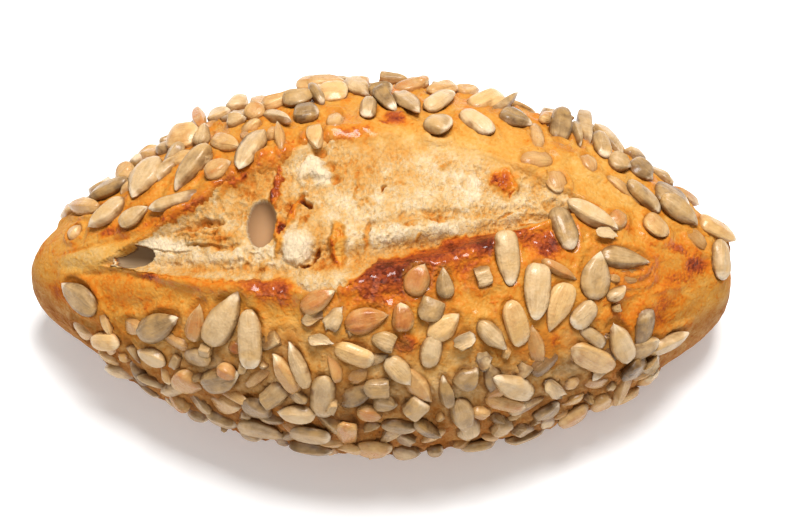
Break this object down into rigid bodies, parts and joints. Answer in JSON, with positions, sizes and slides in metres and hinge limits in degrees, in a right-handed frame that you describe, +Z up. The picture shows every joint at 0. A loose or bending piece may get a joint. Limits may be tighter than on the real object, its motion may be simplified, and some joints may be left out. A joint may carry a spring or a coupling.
{
  "type": "bread roll with sunflower kernels",
  "caption": "Oval spelt bread roll with pointed ends, torn open along its top in baking and covered with sunflower kernels. Rests on its flat underside.",
  "frame": {"origin": "middle of the underside, where the roll stands on its tray", "axes": "+X along the roll from its left to its right nose, +Y from front to back, +Z up through the torn crest"},
  "size_m": [0.141, 0.0795, 0.0514],
  "materials": {
    "crust": "satin",
    "crumb": "matte",
    "kernel": "satin"
  },
  "bodies": {
    "root": {"roll": "crust"}
  },
  "joints": []
}
